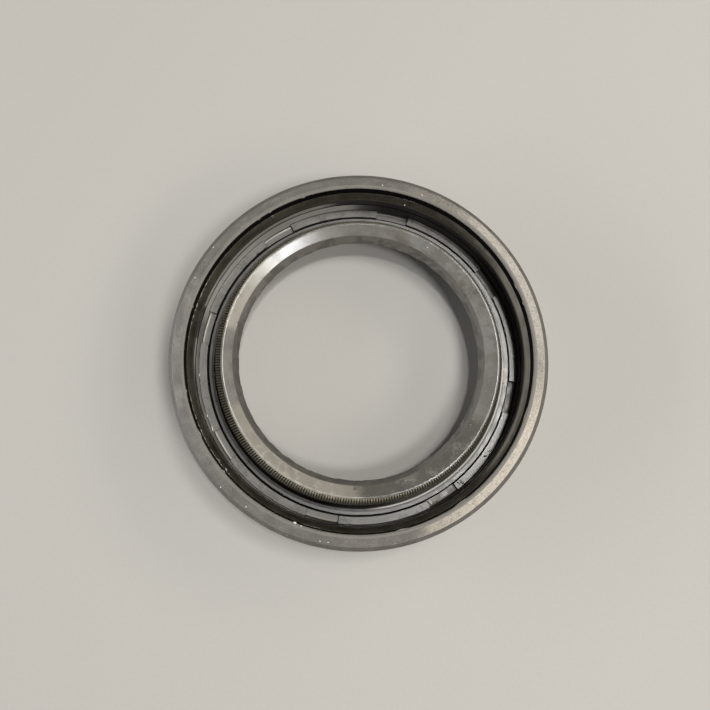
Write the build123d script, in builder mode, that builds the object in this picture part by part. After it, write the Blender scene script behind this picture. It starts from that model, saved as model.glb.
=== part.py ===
from build123d import *
import os
from math import radians, tan

os.makedirs("parts", exist_ok=True)

# Radial shaft seal with a rubber-covered steel case and a garter spring.
# Millimetres. The seal's axis is Z. Its back lies on z = 0 and its spring side is up.
# The section is built up from the shaft outward and from the back upward: each ring
# starts where the one before it ends.

# ---- driving dimensions ----------------------------------------------------------

# The shaft, and how the lip meets it.
shaft_diameter = 48.0
lip_interference = 0.77
bore_clearance = 1.6
bore_land = 1.3
bore_chamfer = 0.3

# The lip head: sealing edge, spring-side face, top face and air-side face.
edge_height = 6.94
inner_face_width = 1.04
inner_face_height = 2.56
top_face_width = 2.33
top_face_rise = 0.69
air_face_angle = 25.0
air_face_depth = 2.7

# The garter spring and the groove that holds it.
spring_coil_diameter = 2.4
spring_rise = 0.11
spring_overhang = 0.17
spring_clearance = 0.05
groove_heel_width = 0.2
groove_heel_height = 0.45

# The flexible web below the head and the deep gap behind it.
web_waist_depth = 1.0
web_waist_setback = 0.72
web_foot_width = 1.3
gap_floor_height = 1.5
gap_floor_width = 1.45
gap_mouth_clearance = 0.83
web_fillet = 0.8

# The rings of rubber on the flange.
web_ring_width = 1.2
web_ring_cover = 1.2
web_ring_fillet = 0.55
slot_width = 0.41
slot_depth = 0.7
ledge_width = 1.54
ledge_cover = 1.0

# The steel case: a drawn, L-shaped ring of one sheet, its free end bevelled inside.
sheet = 1.0
case_height = 9.17
case_bend = 0.8
flange_overlap = 1.0
end_bevel_width = 0.61
end_bevel_height = 1.58

# Rubber on the case: back, inside lining and outside jacket.
back_skin = 0.63
lining = 0.25
jacket = 2.8
back_chamfer_width = 0.6
back_chamfer_height = 1.5

# The rim of rubber above the case's end.
rim_height = 2.2
rim_wall_draft = 0.13
rim_inner_bevel_width = 0.66
rim_inner_bevel_drop = 0.18
rim_shoulder_drop = 0.67
rim_chamfer_width = 0.77
rim_chamfer_drop = 0.51

# Windows in the ledge and in the lining, where the mould's pins held the case.
# The sill is the height of lining left between a ledge window and the one above it.
window_sill = 2.95
window_count = 8
window_angle = 11.8
window_phase = 31.9

# ---- radii, from the shaft outward -----------------------------------------------

edge_radius = shaft_diameter / 2 - lip_interference
bore_radius = shaft_diameter / 2 + bore_clearance
face_foot_radius = edge_radius + inner_face_width
head_radius = face_foot_radius + top_face_width
spring_radius = spring_coil_diameter / 2
spring_ring_radius = head_radius + spring_overhang
groove_radius = spring_radius + spring_clearance
web_ring_inner = spring_ring_radius + spring_radius + gap_mouth_clearance
web_ring_outer = web_ring_inner + web_ring_width
ledge_inner = web_ring_outer + slot_width
lining_radius = ledge_inner + ledge_width
case_inner = lining_radius + lining
case_outer = case_inner + sheet
outer_radius = case_outer + jacket
flange_inner = web_ring_outer - flange_overlap
bevel_radius = case_inner + end_bevel_width
rim_inner_radius = bevel_radius + rim_wall_draft
crest_radius = rim_inner_radius + rim_inner_bevel_width
air_foot_radius = edge_radius + air_face_depth * tan(radians(air_face_angle))
heel_radius = head_radius - groove_heel_width
waist_radius = head_radius - web_waist_setback
web_foot_radius = bore_radius + web_foot_width

# ---- heights, from the back upward -----------------------------------------------

flange_top = back_skin + sheet
ledge_height = flange_top + ledge_cover
slot_floor = ledge_height - slot_depth
web_ring_height = flange_top + web_ring_cover
case_end = back_skin + case_height
bevel_foot = case_end - end_bevel_height
sill_height = ledge_height + window_sill
seal_width = case_end + rim_height
rim_inner_height = seal_width - rim_inner_bevel_drop
shoulder_height = seal_width - rim_shoulder_drop
rim_side_height = shoulder_height - rim_chamfer_drop
face_foot_height = edge_height + inner_face_height
head_height = face_foot_height + top_face_rise
air_foot_height = edge_height - air_face_depth
spring_height = edge_height + spring_rise
heel_height = spring_height - groove_radius - groove_heel_height
waist_height = heel_height - web_waist_depth

# ---- steel case ------------------------------------------------------------------

with BuildPart() as metal_case:
    with BuildSketch(Plane.XZ) as case_section:
        with BuildLine():
            FilletPolyline(
                (flange_inner, back_skin),
                (case_outer, back_skin),
                (case_outer, case_end),
                (bevel_radius, case_end),
                (case_inner, bevel_foot),
                (case_inner, flange_top),
                (flange_inner, flange_top),
                radius=[0, case_bend + sheet, 0, 0, 0, case_bend, 0],
                close=True,
            )
        make_face()
    revolve(axis=Axis.Z)
metal_case.part.label = "metal_case"
export_step(metal_case.part, "parts/metal_case.step")

# ---- garter spring ---------------------------------------------------------------

with BuildPart() as garter_spring:
    with BuildSketch(Plane.XZ):
        with Locations((spring_ring_radius, spring_height)):
            Circle(spring_radius)
    revolve(axis=Axis.Z)
garter_spring.part.label = "garter_spring"
export_step(garter_spring.part, "parts/garter_spring.step")

# ---- window cutter: one ledge window and the lining window above it ---------------

with BuildPart() as window_cutter:
    with BuildSketch(Plane.XZ):
        with BuildLine():
            Polyline(
                (ledge_inner, flange_top),
                (lining_radius, flange_top),
                (lining_radius, ledge_height),
                (ledge_inner, ledge_height),
                close=True,
            )
        make_face()
        with BuildLine():
            Polyline(
                (lining_radius, sill_height),
                (case_inner, sill_height),
                (case_inner, bevel_foot),
                (lining_radius, bevel_foot),
                close=True,
            )
        make_face()
    revolve(axis=Axis.Z, revolution_arc=window_angle)

# ---- rubber body -----------------------------------------------------------------

with BuildPart() as rubber_body:
    with BuildSketch(Plane.XZ):
        with BuildLine():
            FilletPolyline(
                # back and outside
                (bore_radius + bore_chamfer, 0),
                (outer_radius - back_chamfer_width, 0),
                (outer_radius, back_chamfer_height),
                (outer_radius, rim_side_height),
                # rim
                (outer_radius - rim_chamfer_width, shoulder_height),
                (crest_radius, seal_width),
                (rim_inner_radius, rim_inner_height),
                (bevel_radius, case_end),
                # lining
                (case_inner, bevel_foot),
                (lining_radius, bevel_foot),
                # ledge, slot and web ring
                (lining_radius, ledge_height),
                (ledge_inner, ledge_height),
                (ledge_inner, slot_floor),
                (web_ring_outer, slot_floor),
                (web_ring_outer, web_ring_height),
                (web_ring_inner, web_ring_height),
                # gap and flexible web
                (web_foot_radius + gap_floor_width, gap_floor_height),
                (web_foot_radius, gap_floor_height),
                (waist_radius, waist_height),
                (heel_radius, heel_height),
                # lip head
                (head_radius, spring_height),
                (head_radius, head_height),
                (face_foot_radius, face_foot_height),
                (edge_radius, edge_height),
                (air_foot_radius, air_foot_height),
                # bore
                (bore_radius, bore_land),
                (bore_radius, bore_chamfer),
                radius=(
                    [0] * 15 + [web_ring_fillet, 0, 0, web_fillet]
                    + [0] * 5 + [web_fillet, web_fillet, 0]
                ),
                close=True,
            )
        make_face()
        with Locations((spring_ring_radius, spring_height)):
            Circle(groove_radius, mode=Mode.SUBTRACT)
    revolve(axis=Axis.Z)
    add(metal_case.part, mode=Mode.SUBTRACT)
    with PolarLocations(0, window_count, start_angle=window_phase - window_angle / 2):
        add(window_cutter.part, mode=Mode.SUBTRACT)
rubber_body.part.label = "rubber_body"
export_step(rubber_body.part, "parts/rubber_body.step")
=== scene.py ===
"""Radial shaft seal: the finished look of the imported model.

The seal is one nitrile moulding round a drawn steel case, with a garter spring in the
groove behind its lip. The moulding, the case and the spring stand for the three CAD
nodes of the same names, and thin mould flash, trimming crumbs and dust lie on them.

Sections are given in millimetres, as radius from the seal's axis and height above its
back. Meshes are made in metres.
"""

import logging
import math
from collections.abc import Callable
from dataclasses import dataclass, field, replace
from enum import Enum
from typing import Any

import bmesh
import bpy
import numpy as np
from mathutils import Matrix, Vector


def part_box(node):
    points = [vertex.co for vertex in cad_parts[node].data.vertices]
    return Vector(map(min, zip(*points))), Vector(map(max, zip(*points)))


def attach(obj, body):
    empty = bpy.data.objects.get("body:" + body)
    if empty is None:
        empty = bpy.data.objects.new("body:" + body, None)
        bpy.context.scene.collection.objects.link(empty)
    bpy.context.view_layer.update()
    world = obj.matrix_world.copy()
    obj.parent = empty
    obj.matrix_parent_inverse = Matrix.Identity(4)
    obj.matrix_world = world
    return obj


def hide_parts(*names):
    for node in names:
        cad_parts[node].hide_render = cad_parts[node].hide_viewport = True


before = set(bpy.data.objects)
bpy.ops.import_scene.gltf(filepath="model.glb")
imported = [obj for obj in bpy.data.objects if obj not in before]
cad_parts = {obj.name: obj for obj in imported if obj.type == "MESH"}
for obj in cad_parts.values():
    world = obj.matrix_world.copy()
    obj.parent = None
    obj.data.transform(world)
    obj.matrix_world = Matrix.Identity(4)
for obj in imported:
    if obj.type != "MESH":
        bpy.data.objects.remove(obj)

Socket = bpy.types.NodeSocket
Material = bpy.types.Material
Mesh = bpy.types.Mesh
Piece = bpy.types.Object
Pair = tuple[float, float]
Triple = tuple[float, float, float]

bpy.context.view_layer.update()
BODY = "root"
MM = 0.001
LOG = logging.getLogger("radial_shaft_seal")

# Kinds of node that are used more than once.
MATH = "ShaderNodeMath"
VECTOR = "ShaderNodeVectorMath"
JOIN = "ShaderNodeCombineXYZ"
NOISE = "ShaderNodeTexNoise"
STEP = "ShaderNodeMapRange"
CIRCLE = "GeometryNodeCurvePrimitiveCircle"
SWEEP = "GeometryNodeCurveToMesh"
MOVE = "GeometryNodeSetPosition"
SAMPLE = "GeometryNodeSampleIndex"
ATTRIBUTE = "GeometryNodeInputNamedAttribute"
# A step's setting, and the two levels between which most noise lies.
SMOOTH = {"interpolation_type": "SMOOTHSTEP"}
NOISE_SPAN = (0.3, 0.7)
# Largest nearness at which a stain's window is full.
NEAREST = 0.9995
# Kind of a tree's named input, by the type of its value.
SOCKET_TYPES = {int: "NodeSocketInt", float: "NodeSocketFloat", Material: "NodeSocketMaterial"}


# ---- small tools ----


def srgb_to_linear(code: str) -> tuple[float, float, float, float]:
    """Turns a colour code to linear light.

    Args:
        code: An sRGB colour as six hex digits, such as "8A8580".

    Returns:
        Linear red, green, blue and an alpha of 1.
    """
    channels = [int(code[i : i + 2], 16) / 255 for i in (0, 2, 4)]
    linear = [c / 12.92 if c <= 0.04045 else ((c + 0.055) / 1.055) ** 2.4 for c in channels]
    return (*linear, 1.0)


def direction(azimuth: float) -> Triple:
    """Gives the level unit vector of an azimuth in degrees."""
    return math.cos(math.radians(azimuth)), math.sin(math.radians(azimuth)), 0.0


def wave_sum(angles: np.ndarray, amplitude: float, lowest: int, count: int, seed: int) -> np.ndarray:
    """Adds seeded sine waves round a ring, so that the ring closes without a step.

    Args:
        angles: Angles round the ring, in radians.
        amplitude: Largest value of the sum.
        lowest: Waves round the ring of the longest wave.
        count: Number of waves that are added.
        seed: Seed of their phases.

    Returns:
        One value for each angle.
    """
    phases = np.random.default_rng(seed).uniform(0, math.tau, count)
    total = np.zeros_like(angles)
    for i, phase in enumerate(phases):
        total += np.sin((lowest + i * i + i) * angles + phase) / (1 + 0.35 * i)
    return amplitude * total / np.abs(total).max()


def find_socket(sockets: Any, key: str | int) -> Socket:
    """Finds a socket by its identifier, its name or its number."""
    return next((s for s in sockets if s.identifier == key), None) or sockets[key]


@dataclass
class Graph:
    """A shader or geometry tree that is being built."""

    tree: bpy.types.NodeTree

    def feed(self, node: bpy.types.Node, inputs: Any) -> None:
        """Links sockets to a node's inputs and sets plain values there.

        Args:
            node: The node.
            inputs: Sockets, values or colour codes, in order or by the inputs' names.
        """
        for key, value in inputs.items() if isinstance(inputs, dict) else enumerate(inputs):
            socket = find_socket(node.inputs, key)
            if isinstance(value, Socket):
                self.tree.links.new(value, socket)
            else:
                is_code = socket.type == "RGBA" and isinstance(value, str)
                socket.default_value = srgb_to_linear(value) if is_code else value

    def add(self, kind: str, inputs: Any = (), operation: str = "", output: str | int = 0,
            **settings: Any) -> Socket | None:
        """Adds a node with its settings and links.

        Args:
            kind: The node's type name.
            inputs: Sockets, values or colour codes, in order or by the inputs' names.
            operation: The node's operation, if it has one.
            output: Number, identifier or name of the output that is wanted.
            settings: Values for the node's other properties.

        Returns:
            That output, or nothing for a node that ends the tree.
        """
        node = self.tree.nodes.new(kind)
        if operation:
            node.operation = operation
        for name, value in settings.items():
            setattr(node, name, value)
        self.feed(node, inputs)
        return find_socket(node.outputs, output) if node.outputs else None


# ---- finishes ----


def lumps(place: Socket, size: float, detail: float, roughness: float = 0.6) -> dict[str, Any]:
    """Gives a noise's inputs for lumps of a real size in millimetres."""
    return {"Vector": place, "Scale": 1 / (size * MM), "Detail": detail, "Roughness": roughness}


@dataclass(frozen=True)
class Coat:
    """A colour that is laid over others: its share, and itself as a colour code or a socket."""

    share: Any
    colour: Any
    blend: str = "MIX"


@dataclass
class Surface(Graph):
    """A material that is being built, with sockets that tell where its points lie round the axis."""

    material: Material
    shader: bpy.types.Node
    place: Socket
    around: Socket
    radius: Socket
    height: Socket

    @classmethod
    def start(cls, name: str) -> "Surface":
        """Starts a material with a Principled shader and Object coordinates.

        Args:
            name: The material's name.

        Returns:
            The surface, with nothing linked to its shader.
        """
        material = bpy.data.materials.new(name)
        material.use_nodes = True
        graph = Graph(material.node_tree)
        graph.tree.nodes.clear()
        shader = graph.add("ShaderNodeBsdfPrincipled")
        graph.add("ShaderNodeOutputMaterial", (shader,))
        place = graph.add("ShaderNodeTexCoord", output="Object")
        flat = graph.add(VECTOR, (place, (1, 1, 0)), "MULTIPLY")
        around = graph.add(VECTOR, (flat,), "NORMALIZE")
        radius = graph.add(VECTOR, (flat,), "LENGTH", "Value")
        height = graph.add("ShaderNodeSeparateXYZ", (place,), output="Z")
        return cls(graph.tree, material, shader.node, place, around, radius, height)

    def nearness(self, azimuth: float) -> Socket:
        """Gives the cosine of each point's turn from an azimuth in degrees."""
        return self.add(VECTOR, (self.around, direction(azimuth)), "DOT_PRODUCT", "Value")

    def lay(self, ground: Any, *coats: Coat) -> Socket:
        """Lays coats of colour over a ground.

        Args:
            ground: The lowest colour.
            coats: The coats, in their order.

        Returns:
            The colour that shows.
        """
        for coat in coats:
            inputs = {"Factor_Float": coat.share, "A_Color": ground, "B_Color": coat.colour}
            ground = self.add("ShaderNodeMix", inputs, output="Result_Color", data_type="RGBA",
                              blend_type=coat.blend)
        return ground

    def dress(self, colour: Socket, roughness: Any, relief: Socket | None = None, strength: float = 0.5,
              depth: float = 0.02, **others: Any) -> Material:
        """Gives the shader what its inputs need.

        Args:
            colour: The base colour.
            roughness: The roughness, as a number or a socket.
            relief: Height of the relief from 0 to 1, if there is one.
            strength: Strength of the relief.
            depth: Depth of the relief in millimetres.
            others: Other inputs of the shader, with underscores for spaces.

        Returns:
            The finished material.
        """
        inputs = {"Base Color": colour, "Roughness": roughness}
        if relief:
            bump = {"Strength": strength, "Distance": depth * MM, "Height": relief}
            inputs["Normal"] = self.add("ShaderNodeBump", bump)
        inputs.update({name.replace("_", " "): value for name, value in others.items()})
        self.feed(self.shader, inputs)
        return self.material


@dataclass(frozen=True)
class StainAndPaintedLight:
    """Patches of another colour on the stretch of a ring at azimuth +- half_width degrees.

    Patches show where noise of their size in millimetres passes level, and blend in over contrast. They
    serve for real dirt and wear, and also for painted light and shade.
    """

    colour: str
    azimuth: float
    half_width: float
    size: float
    level: float
    share: float
    feather: float = 0.35
    contrast: float = 0.14

    def coat(self, s: Surface) -> Coat:
        """Adds the patches, strongest at the stretch's middle.

        Args:
            s: The surface that gets them.

        Returns:
            The patches' coat.
        """
        edge = math.cos(math.radians(self.half_width))
        full = min(NEAREST, edge + self.feather * (1 - edge))
        window = s.add(STEP, (s.nearness(self.azimuth), edge, full), **SMOOTH)
        patches = s.add(NOISE, lumps(s.place, self.size, 5, 0.65))
        levels = (patches, self.level, self.level + self.contrast, 0.0, self.share)
        share = s.add(MATH, (window, s.add(STEP, levels, **SMOOTH)), "MULTIPLY")
        return Coat(share, self.colour)


@dataclass(frozen=True)
class NitrileFinish:
    """Black nitrile rubber, compression moulded: satin, greyed by bloom and handling dust."""

    base: str
    bloom: str
    bloom_share: float = 0.5
    bloom_size: float = 3.0
    grain: float = 0.16
    grain_share: float = 0.25
    roughness: float = 0.5
    roughness_spread: float = 0.12
    specular: float = 0.5
    relief: float = 0.012
    tool_lines: float = 0.0
    smudge: float = 0.0
    smudge_colour: str = "3A3734"
    smudge_size: float = 2.4
    smudge_lean: float = 24.0
    smudge_heights: Pair = (7.2, 9.5)
    smudge_drift: Pair = (0.06, -0.1)
    smudge_levels: Pair = (0.5, 0.56)
    line_pitch: float = 0.12
    line_contrast: float = 0.1
    stains_and_painted_light: tuple[StainAndPaintedLight, ...] = ()

    def material(self, name: str) -> Material:
        """Builds the finish's node tree.

        Args:
            name: The material's name.

        Returns:
            The material.
        """
        s = Surface.start(name)
        patches = s.add(NOISE, lumps(s.place, self.bloom_size, 5))
        relief = grain = s.add(NOISE, lumps(s.place, self.grain, 3, 0.7))
        bloom = s.add(STEP, (patches, 0.32, 0.68, 0.0, self.bloom_share), **SMOOTH)
        shade = s.add(STEP, (grain, 0.25, 0.75, 1 - self.grain_share, 1 + self.grain_share), **SMOOTH)
        coats = [Coat(bloom, self.bloom), Coat(1.0, shade, "MULTIPLY")]
        if self.smudge:
            coats.append(self.smudges(s))
        coats += [patch.coat(s) for patch in self.stains_and_painted_light]
        if self.tool_lines:
            lines = self.turning_lines(s)
            relief = s.add(MATH, (grain, s.add(MATH, (lines, self.tool_lines), "MULTIPLY")), "ADD")
            contrast = self.line_contrast * self.tool_lines
            shade = s.add(STEP, (lines, *NOISE_SPAN, 1 - contrast, 1 + contrast), **SMOOTH)
            coats.append(Coat(1.0, shade, "MULTIPLY"))
        low, high = self.roughness - self.roughness_spread, self.roughness + self.roughness_spread
        rough = s.add(STEP, (patches, *NOISE_SPAN, low, high), **SMOOTH)
        colour = s.lay(self.base, *coats)
        return s.dress(colour, rough, relief, 0.6, self.relief, Specular_IOR_Level=self.specular)

    def turning_lines(self, s: Surface) -> Socket:
        """Adds the fine circular lines that the turned mould leaves.

        Args:
            s: The surface.

        Returns:
            The lines' height.
        """
        stretched = s.add(VECTOR, (s.place, (0.05, 0.05, 1.0)), "MULTIPLY")
        lines = s.add(VECTOR, (stretched, s.add(JOIN, (s.radius, s.radius))), "ADD")
        return s.add(NOISE, lumps(lines, self.line_pitch, 2, 0.5))

    def smudges(self, s: Surface) -> Coat:
        """Adds torn dark marks that hang together along the trimmed edge and thin out above it.

        Args:
            s: The surface.

        Returns:
            The marks' coat.
        """
        lean = s.add(MATH, (s.height, self.smudge_lean), "MULTIPLY")
        turn = {"Vector": s.place, "Angle": lean}
        turned = s.add("ShaderNodeVectorRotate", turn, rotation_type="Z_AXIS")
        torn = s.add(NOISE, lumps(turned, self.smudge_size, 4, 0.5))
        low, high = self.smudge_heights
        rise = s.add(STEP, (s.height, low * MM, high * MM, *self.smudge_drift), **SMOOTH)
        reach = s.add(MATH, (torn, rise), "ADD")
        share = s.add(STEP, (reach, *self.smudge_levels, 0.0, self.smudge), **SMOOTH)
        return Coat(share, self.smudge_colour)


@dataclass(frozen=True)
class SteelFinish:
    """Steel sheet or wire under a thin dark film: metallic, with fine drawing lines.

    On the case, rings of colour cover the flange: they change at ring_steps and end at cover_end.
    The grey ring is bled rubber; the pale ring near the bend is a painted highlight, and the dark
    ground by the slot and the dark ring next to the wall are painted shade. Pale grey painted light
    lies at the foot of the bevel round foot_azimuth, where the steel would otherwise mirror shade.
    """

    base: str
    film: str
    film_share: float = 0.5
    roughness: float = 0.4
    roughness_span: Pair = (-0.08, 0.1)
    line_count: float = 900.0
    line_strength: float = 0.3
    line_rise: float = 0.2
    relief: float = 0.01
    patch_size: float = 2.0
    metallic: float = 1.0
    bleed_and_painted_light: tuple[str, ...] = ()
    ring_steps: Triple = (30.5, 31.5, 31.78)
    cover_end: float = 31.93
    ring_blend: float = 0.06
    foot_painted_light: str = "A8A398"
    foot_start: Pair = (31.95, 32.1)
    foot_end: Pair = (32.2, 32.65)
    foot_azimuth: float = 356.0
    foot_nearness: Pair = (0.72, 0.9)
    foot_share: float = 0.7
    dulling: float = 0.9

    def material(self, name: str) -> Material:
        """Builds the finish's node tree.

        Args:
            name: The material's name.

        Returns:
            The material.
        """
        s = Surface.start(name)
        # The lines run across the ring: they change fast round it and slowly along its height.
        fast = s.add(VECTOR, {0: s.around, "Scale": self.line_count / math.tau}, "SCALE")
        rise = s.add(JOIN, {"Z": s.add(MATH, (s.height, self.line_rise / MM), "MULTIPLY")})
        along = s.add(VECTOR, (fast, rise), "ADD")
        lines = s.add(NOISE, {"Vector": along, "Scale": 1.0, "Detail": 2.0})
        patches = s.add(NOISE, lumps(s.place, self.patch_size, 5))
        film = s.add(STEP, (patches, 0.35, 0.65, 0.0, self.film_share), **SMOOTH)
        shade = s.add(STEP, (lines, *NOISE_SPAN, 1 - self.line_strength, 1 + self.line_strength), **SMOOTH)
        colour = s.lay(self.base, Coat(film, self.film), Coat(1.0, shade, "MULTIPLY"))
        metallic = self.metallic
        if self.bleed_and_painted_light:
            colour, metallic = self.cover(s, colour)
        levels = (self.roughness + change for change in self.roughness_span)
        rough = s.add(STEP, (patches, *NOISE_SPAN, *levels), **SMOOTH)
        return s.dress(colour, rough, lines, 0.5, self.relief, Metallic=metallic)

    def cover(self, s: Surface, steel: Socket) -> tuple[Socket, Socket]:
        """Covers the bare steel with bled rubber, painted highlight and shade rings, and painted light at
        the bevel's foot.

        Args:
            s: The surface.
            steel: Colour of the bare steel.

        Returns:
            The colour, and how metallic it is.
        """
        blend = self.ring_blend
        *steps, end = (
            s.add(STEP, (s.radius, (at - blend) * MM, (at + blend) * MM), **SMOOTH)
            for at in (*self.ring_steps, self.cover_end)
        )
        # The grey ring is bled rubber; the pale ring is a painted highlight, and the dark ground and the
        # dark last ring are painted shade.
        ground, *rings = self.bleed_and_painted_light
        # Painted light: pale grey, less metallic steel at the bevel's foot round foot_azimuth.
        foot = self.foot_share
        for levels in (
            (s.radius, self.foot_end[0] * MM, self.foot_end[1] * MM, 1.0, 0.0),
            (s.radius, self.foot_start[0] * MM, self.foot_start[1] * MM),
            (s.nearness(self.foot_azimuth), *self.foot_nearness),
        ):
            foot = s.add(MATH, (foot, s.add(STEP, levels, **SMOOTH)), "MULTIPLY")
        colour = s.lay(ground, *map(Coat, steps, rings), Coat(end, steel), Coat(foot, self.foot_painted_light))
        covered = s.add(MATH, (s.add(MATH, (1.0, end), "SUBTRACT"), foot), "MAXIMUM")
        dulled = s.add(MATH, (covered, self.dulling), "MULTIPLY")
        return colour, s.add(MATH, (self.metallic, dulled), "SUBTRACT")


@dataclass(frozen=True)
class ScrapFinish:
    """Torn rubber, talc and lint: matt and pale, a little uneven."""

    name: str
    base: str
    shade: str
    roughness: float = 0.8
    size: float = 0.15

    def material(self) -> Material:
        """Builds the finish's node tree.

        Returns:
            The material, under the finish's name.
        """
        s = Surface.start(self.name)
        patches = s.add(NOISE, lumps(s.place, self.size, 3))
        share = s.add(STEP, (patches, 0.35, 0.65), **SMOOTH)
        colour = s.lay(self.base, Coat(share, self.shade))
        return s.dress(colour, self.roughness, patches)


# ---- geometry tools ----


class Skin(Enum):
    """The stretches of the moulding's surface that look different, by their materials' names."""

    BACK = "nitrile_moulded"
    JACKET = "nitrile_jacket"
    CHAMFER = "nitrile_chamfer"
    SHOULDER = "nitrile_shoulder"
    RIM_BEVEL = "nitrile_rim_bevel"
    RIM_WALL = "nitrile_rim_wall"
    LINING = "nitrile_lining"
    STRIP = "nitrile_strip"
    LEDGE = "nitrile_ledge"
    SLOT = "nitrile_slot"
    WEB = "nitrile_web"
    WEB_EDGE = "nitrile_web_edge"
    GAP = "nitrile_web_gap"
    GROOVE = "nitrile_groove"
    HEAD = "nitrile_trimmed_head"
    FACE = "nitrile_trimmed_face"
    BORE = "nitrile_bore"


@dataclass(frozen=True)
class Corner:
    """A corner of a section, the skin of the stretch that follows it, and its rounding."""

    radius: float
    height: float
    skin: Skin = Skin.BACK
    rounding: float = 0.0


@dataclass
class Row:
    """One point of the section, which becomes one ring of the mesh.

    A window moves some points: there, window holds the place that the point takes, and
    film says that the stretch to the next point has no thickness left and goes.
    """

    radius: float
    height: float
    skin: Skin = Skin.BACK
    crease: bool = False
    window: Pair | None = None
    film: bool = False

    def place(self, depth: float) -> Pair:
        """Gives radius and height where a window is cut to a share of its depth."""
        cut = self.window or (self.radius, self.height)
        return self.radius + (cut[0] - self.radius) * depth, self.height + (cut[1] - self.height) * depth


def round_corners(corners: list[Corner]) -> list[Row]:
    """Turns the corners of an open outline to rows, with arcs at the rounded ones.

    Args:
        corners: The outline's corners, in order.

    Returns:
        The rows, with a crease at each sharp corner and at both ends of each arc.
    """
    rows = []
    for i, corner in enumerate(corners):
        if not corner.rounding:
            rows.append(Row(corner.radius, corner.height, corner.skin, crease=True))
            continue
        before, here, after = (np.array((c.radius, c.height)) for c in corners[i - 1 : i + 2])
        before = (before - here) / np.linalg.norm(before - here)
        after = (after - here) / np.linalg.norm(after - here)
        opening = math.acos(float(np.clip(before @ after, -1, 1)))
        middle = (before + after) / np.linalg.norm(before + after)
        centre = here + middle * corner.rounding / math.sin(opening / 2)
        start = here + before * corner.rounding / math.tan(opening / 2) - centre
        turn = math.copysign(math.pi - opening, float(after[0] * before[1] - after[1] * before[0]))
        # Degrees between an arc's points and their least number. Wide arcs are drawn finer.
        step, least = (13.0, 4) if corner.rounding >= 0.3 else (30.0, 2)
        count = max(least, math.ceil(abs(turn) / math.radians(step)))
        for k in range(count + 1):
            cos, sin = math.cos(turn * k / count), math.sin(turn * k / count)
            turned = (cos * start[0] - sin * start[1], sin * start[0] + cos * start[1])
            point = (centre + np.array(turned)).tolist()
            rows.append(Row(*point, corner.skin, crease=k in (0, count)))
    return rows


def new_object(name: str, data: bpy.types.ID) -> Piece:
    """Makes an object at the origin and links it to the scene.

    Args:
        name: The object's name.
        data: Its mesh, lamp or camera.

    Returns:
        The object.
    """
    piece = bpy.data.objects.new(name, data)
    bpy.context.scene.collection.objects.link(piece)
    return piece


def point_mesh(name: str, places: list[Triple], marks: dict[str, list[float]]) -> Mesh:
    """Makes a mesh of loose points.

    Args:
        name: The mesh's name.
        places: Azimuth in degrees, radius and height in millimetres of each point.
        marks: Values that the points carry, by name.

    Returns:
        The mesh, in metres.
    """
    mesh = bpy.data.meshes.new(name)
    points = []
    for azimuth, radius, height in places:
        x, y, _ = direction(azimuth)
        points.append((radius * MM * x, radius * MM * y, height * MM))
    mesh.from_pydata(points, [], [])
    for label, values in marks.items():
        mesh.attributes.new(label, "FLOAT", "POINT").data.foreach_set("value", values)
    return mesh


def grow(name: str, tree_name: str, start: Mesh, values: dict[str, Any],
         draw: Callable[[Graph, Any], Socket], crease: float) -> Piece:
    """Makes a piece with Geometry Nodes and keeps the result as its plain mesh.

    Args:
        name: The piece's name.
        tree_name: The tree's name.
        start: The mesh that the tree starts from.
        values: The tree's named inputs, each with its value.
        draw: Adds the tree's own nodes, from its inputs to the geometry that it returns.
        crease: Turn in degrees from which an edge stays sharp.

    Returns:
        The piece, with no modifier.
    """
    tree = bpy.data.node_groups.new(tree_name, "GeometryNodeTree")
    for side in ("INPUT", "OUTPUT"):
        tree.interface.new_socket("Geometry", in_out=side, socket_type="NodeSocketGeometry")
    for label, value in values.items():
        tree.interface.new_socket(label, in_out="INPUT", socket_type=SOCKET_TYPES[type(value)])
    graph = Graph(tree)
    given = graph.add("NodeGroupInput").node.outputs
    # Every tree ends in Realize Instances and Set Material.
    real = graph.add("GeometryNodeRealizeInstances", (draw(graph, given),))
    dressed = graph.add("GeometryNodeSetMaterial", {"Geometry": real, "Material": given["Material"]})
    graph.add("NodeGroupOutput", (dressed,))

    piece = new_object(name, start)
    modifier = piece.modifiers.new("grow", "NODES")
    modifier.node_group = tree
    for item in tree.interface.items_tree:
        if item.name in values:
            modifier[item.identifier] = values[item.name]
    mesh = bpy.data.meshes.new_from_object(piece.evaluated_get(bpy.context.evaluated_depsgraph_get()))
    piece.modifiers.remove(modifier)
    piece.data = mesh
    mesh.name = name
    mesh.materials.clear()
    mesh.materials.append(values["Material"])
    mesh.polygons.foreach_set("material_index", [0] * len(mesh.polygons))
    mesh.polygons.foreach_set("use_smooth", [True] * len(mesh.polygons))
    mesh.set_sharp_from_angle(angle=math.radians(crease))
    return piece


def put_on(piece: Piece, slot: str, *nodes: str) -> None:
    """Lets a piece ride on the seal's one body and logs its size.

    Args:
        piece: The piece.
        slot: Name of its material slot; not used.
        nodes: CAD nodes that it stands for and hides.
    """
    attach(piece, BODY)
    if nodes:
        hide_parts(*nodes)
    LOG.info("%s: %d triangles", piece.name, sum(len(p.vertices) - 2 for p in piece.data.polygons))


# ---- sizes that pieces share ----


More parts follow.
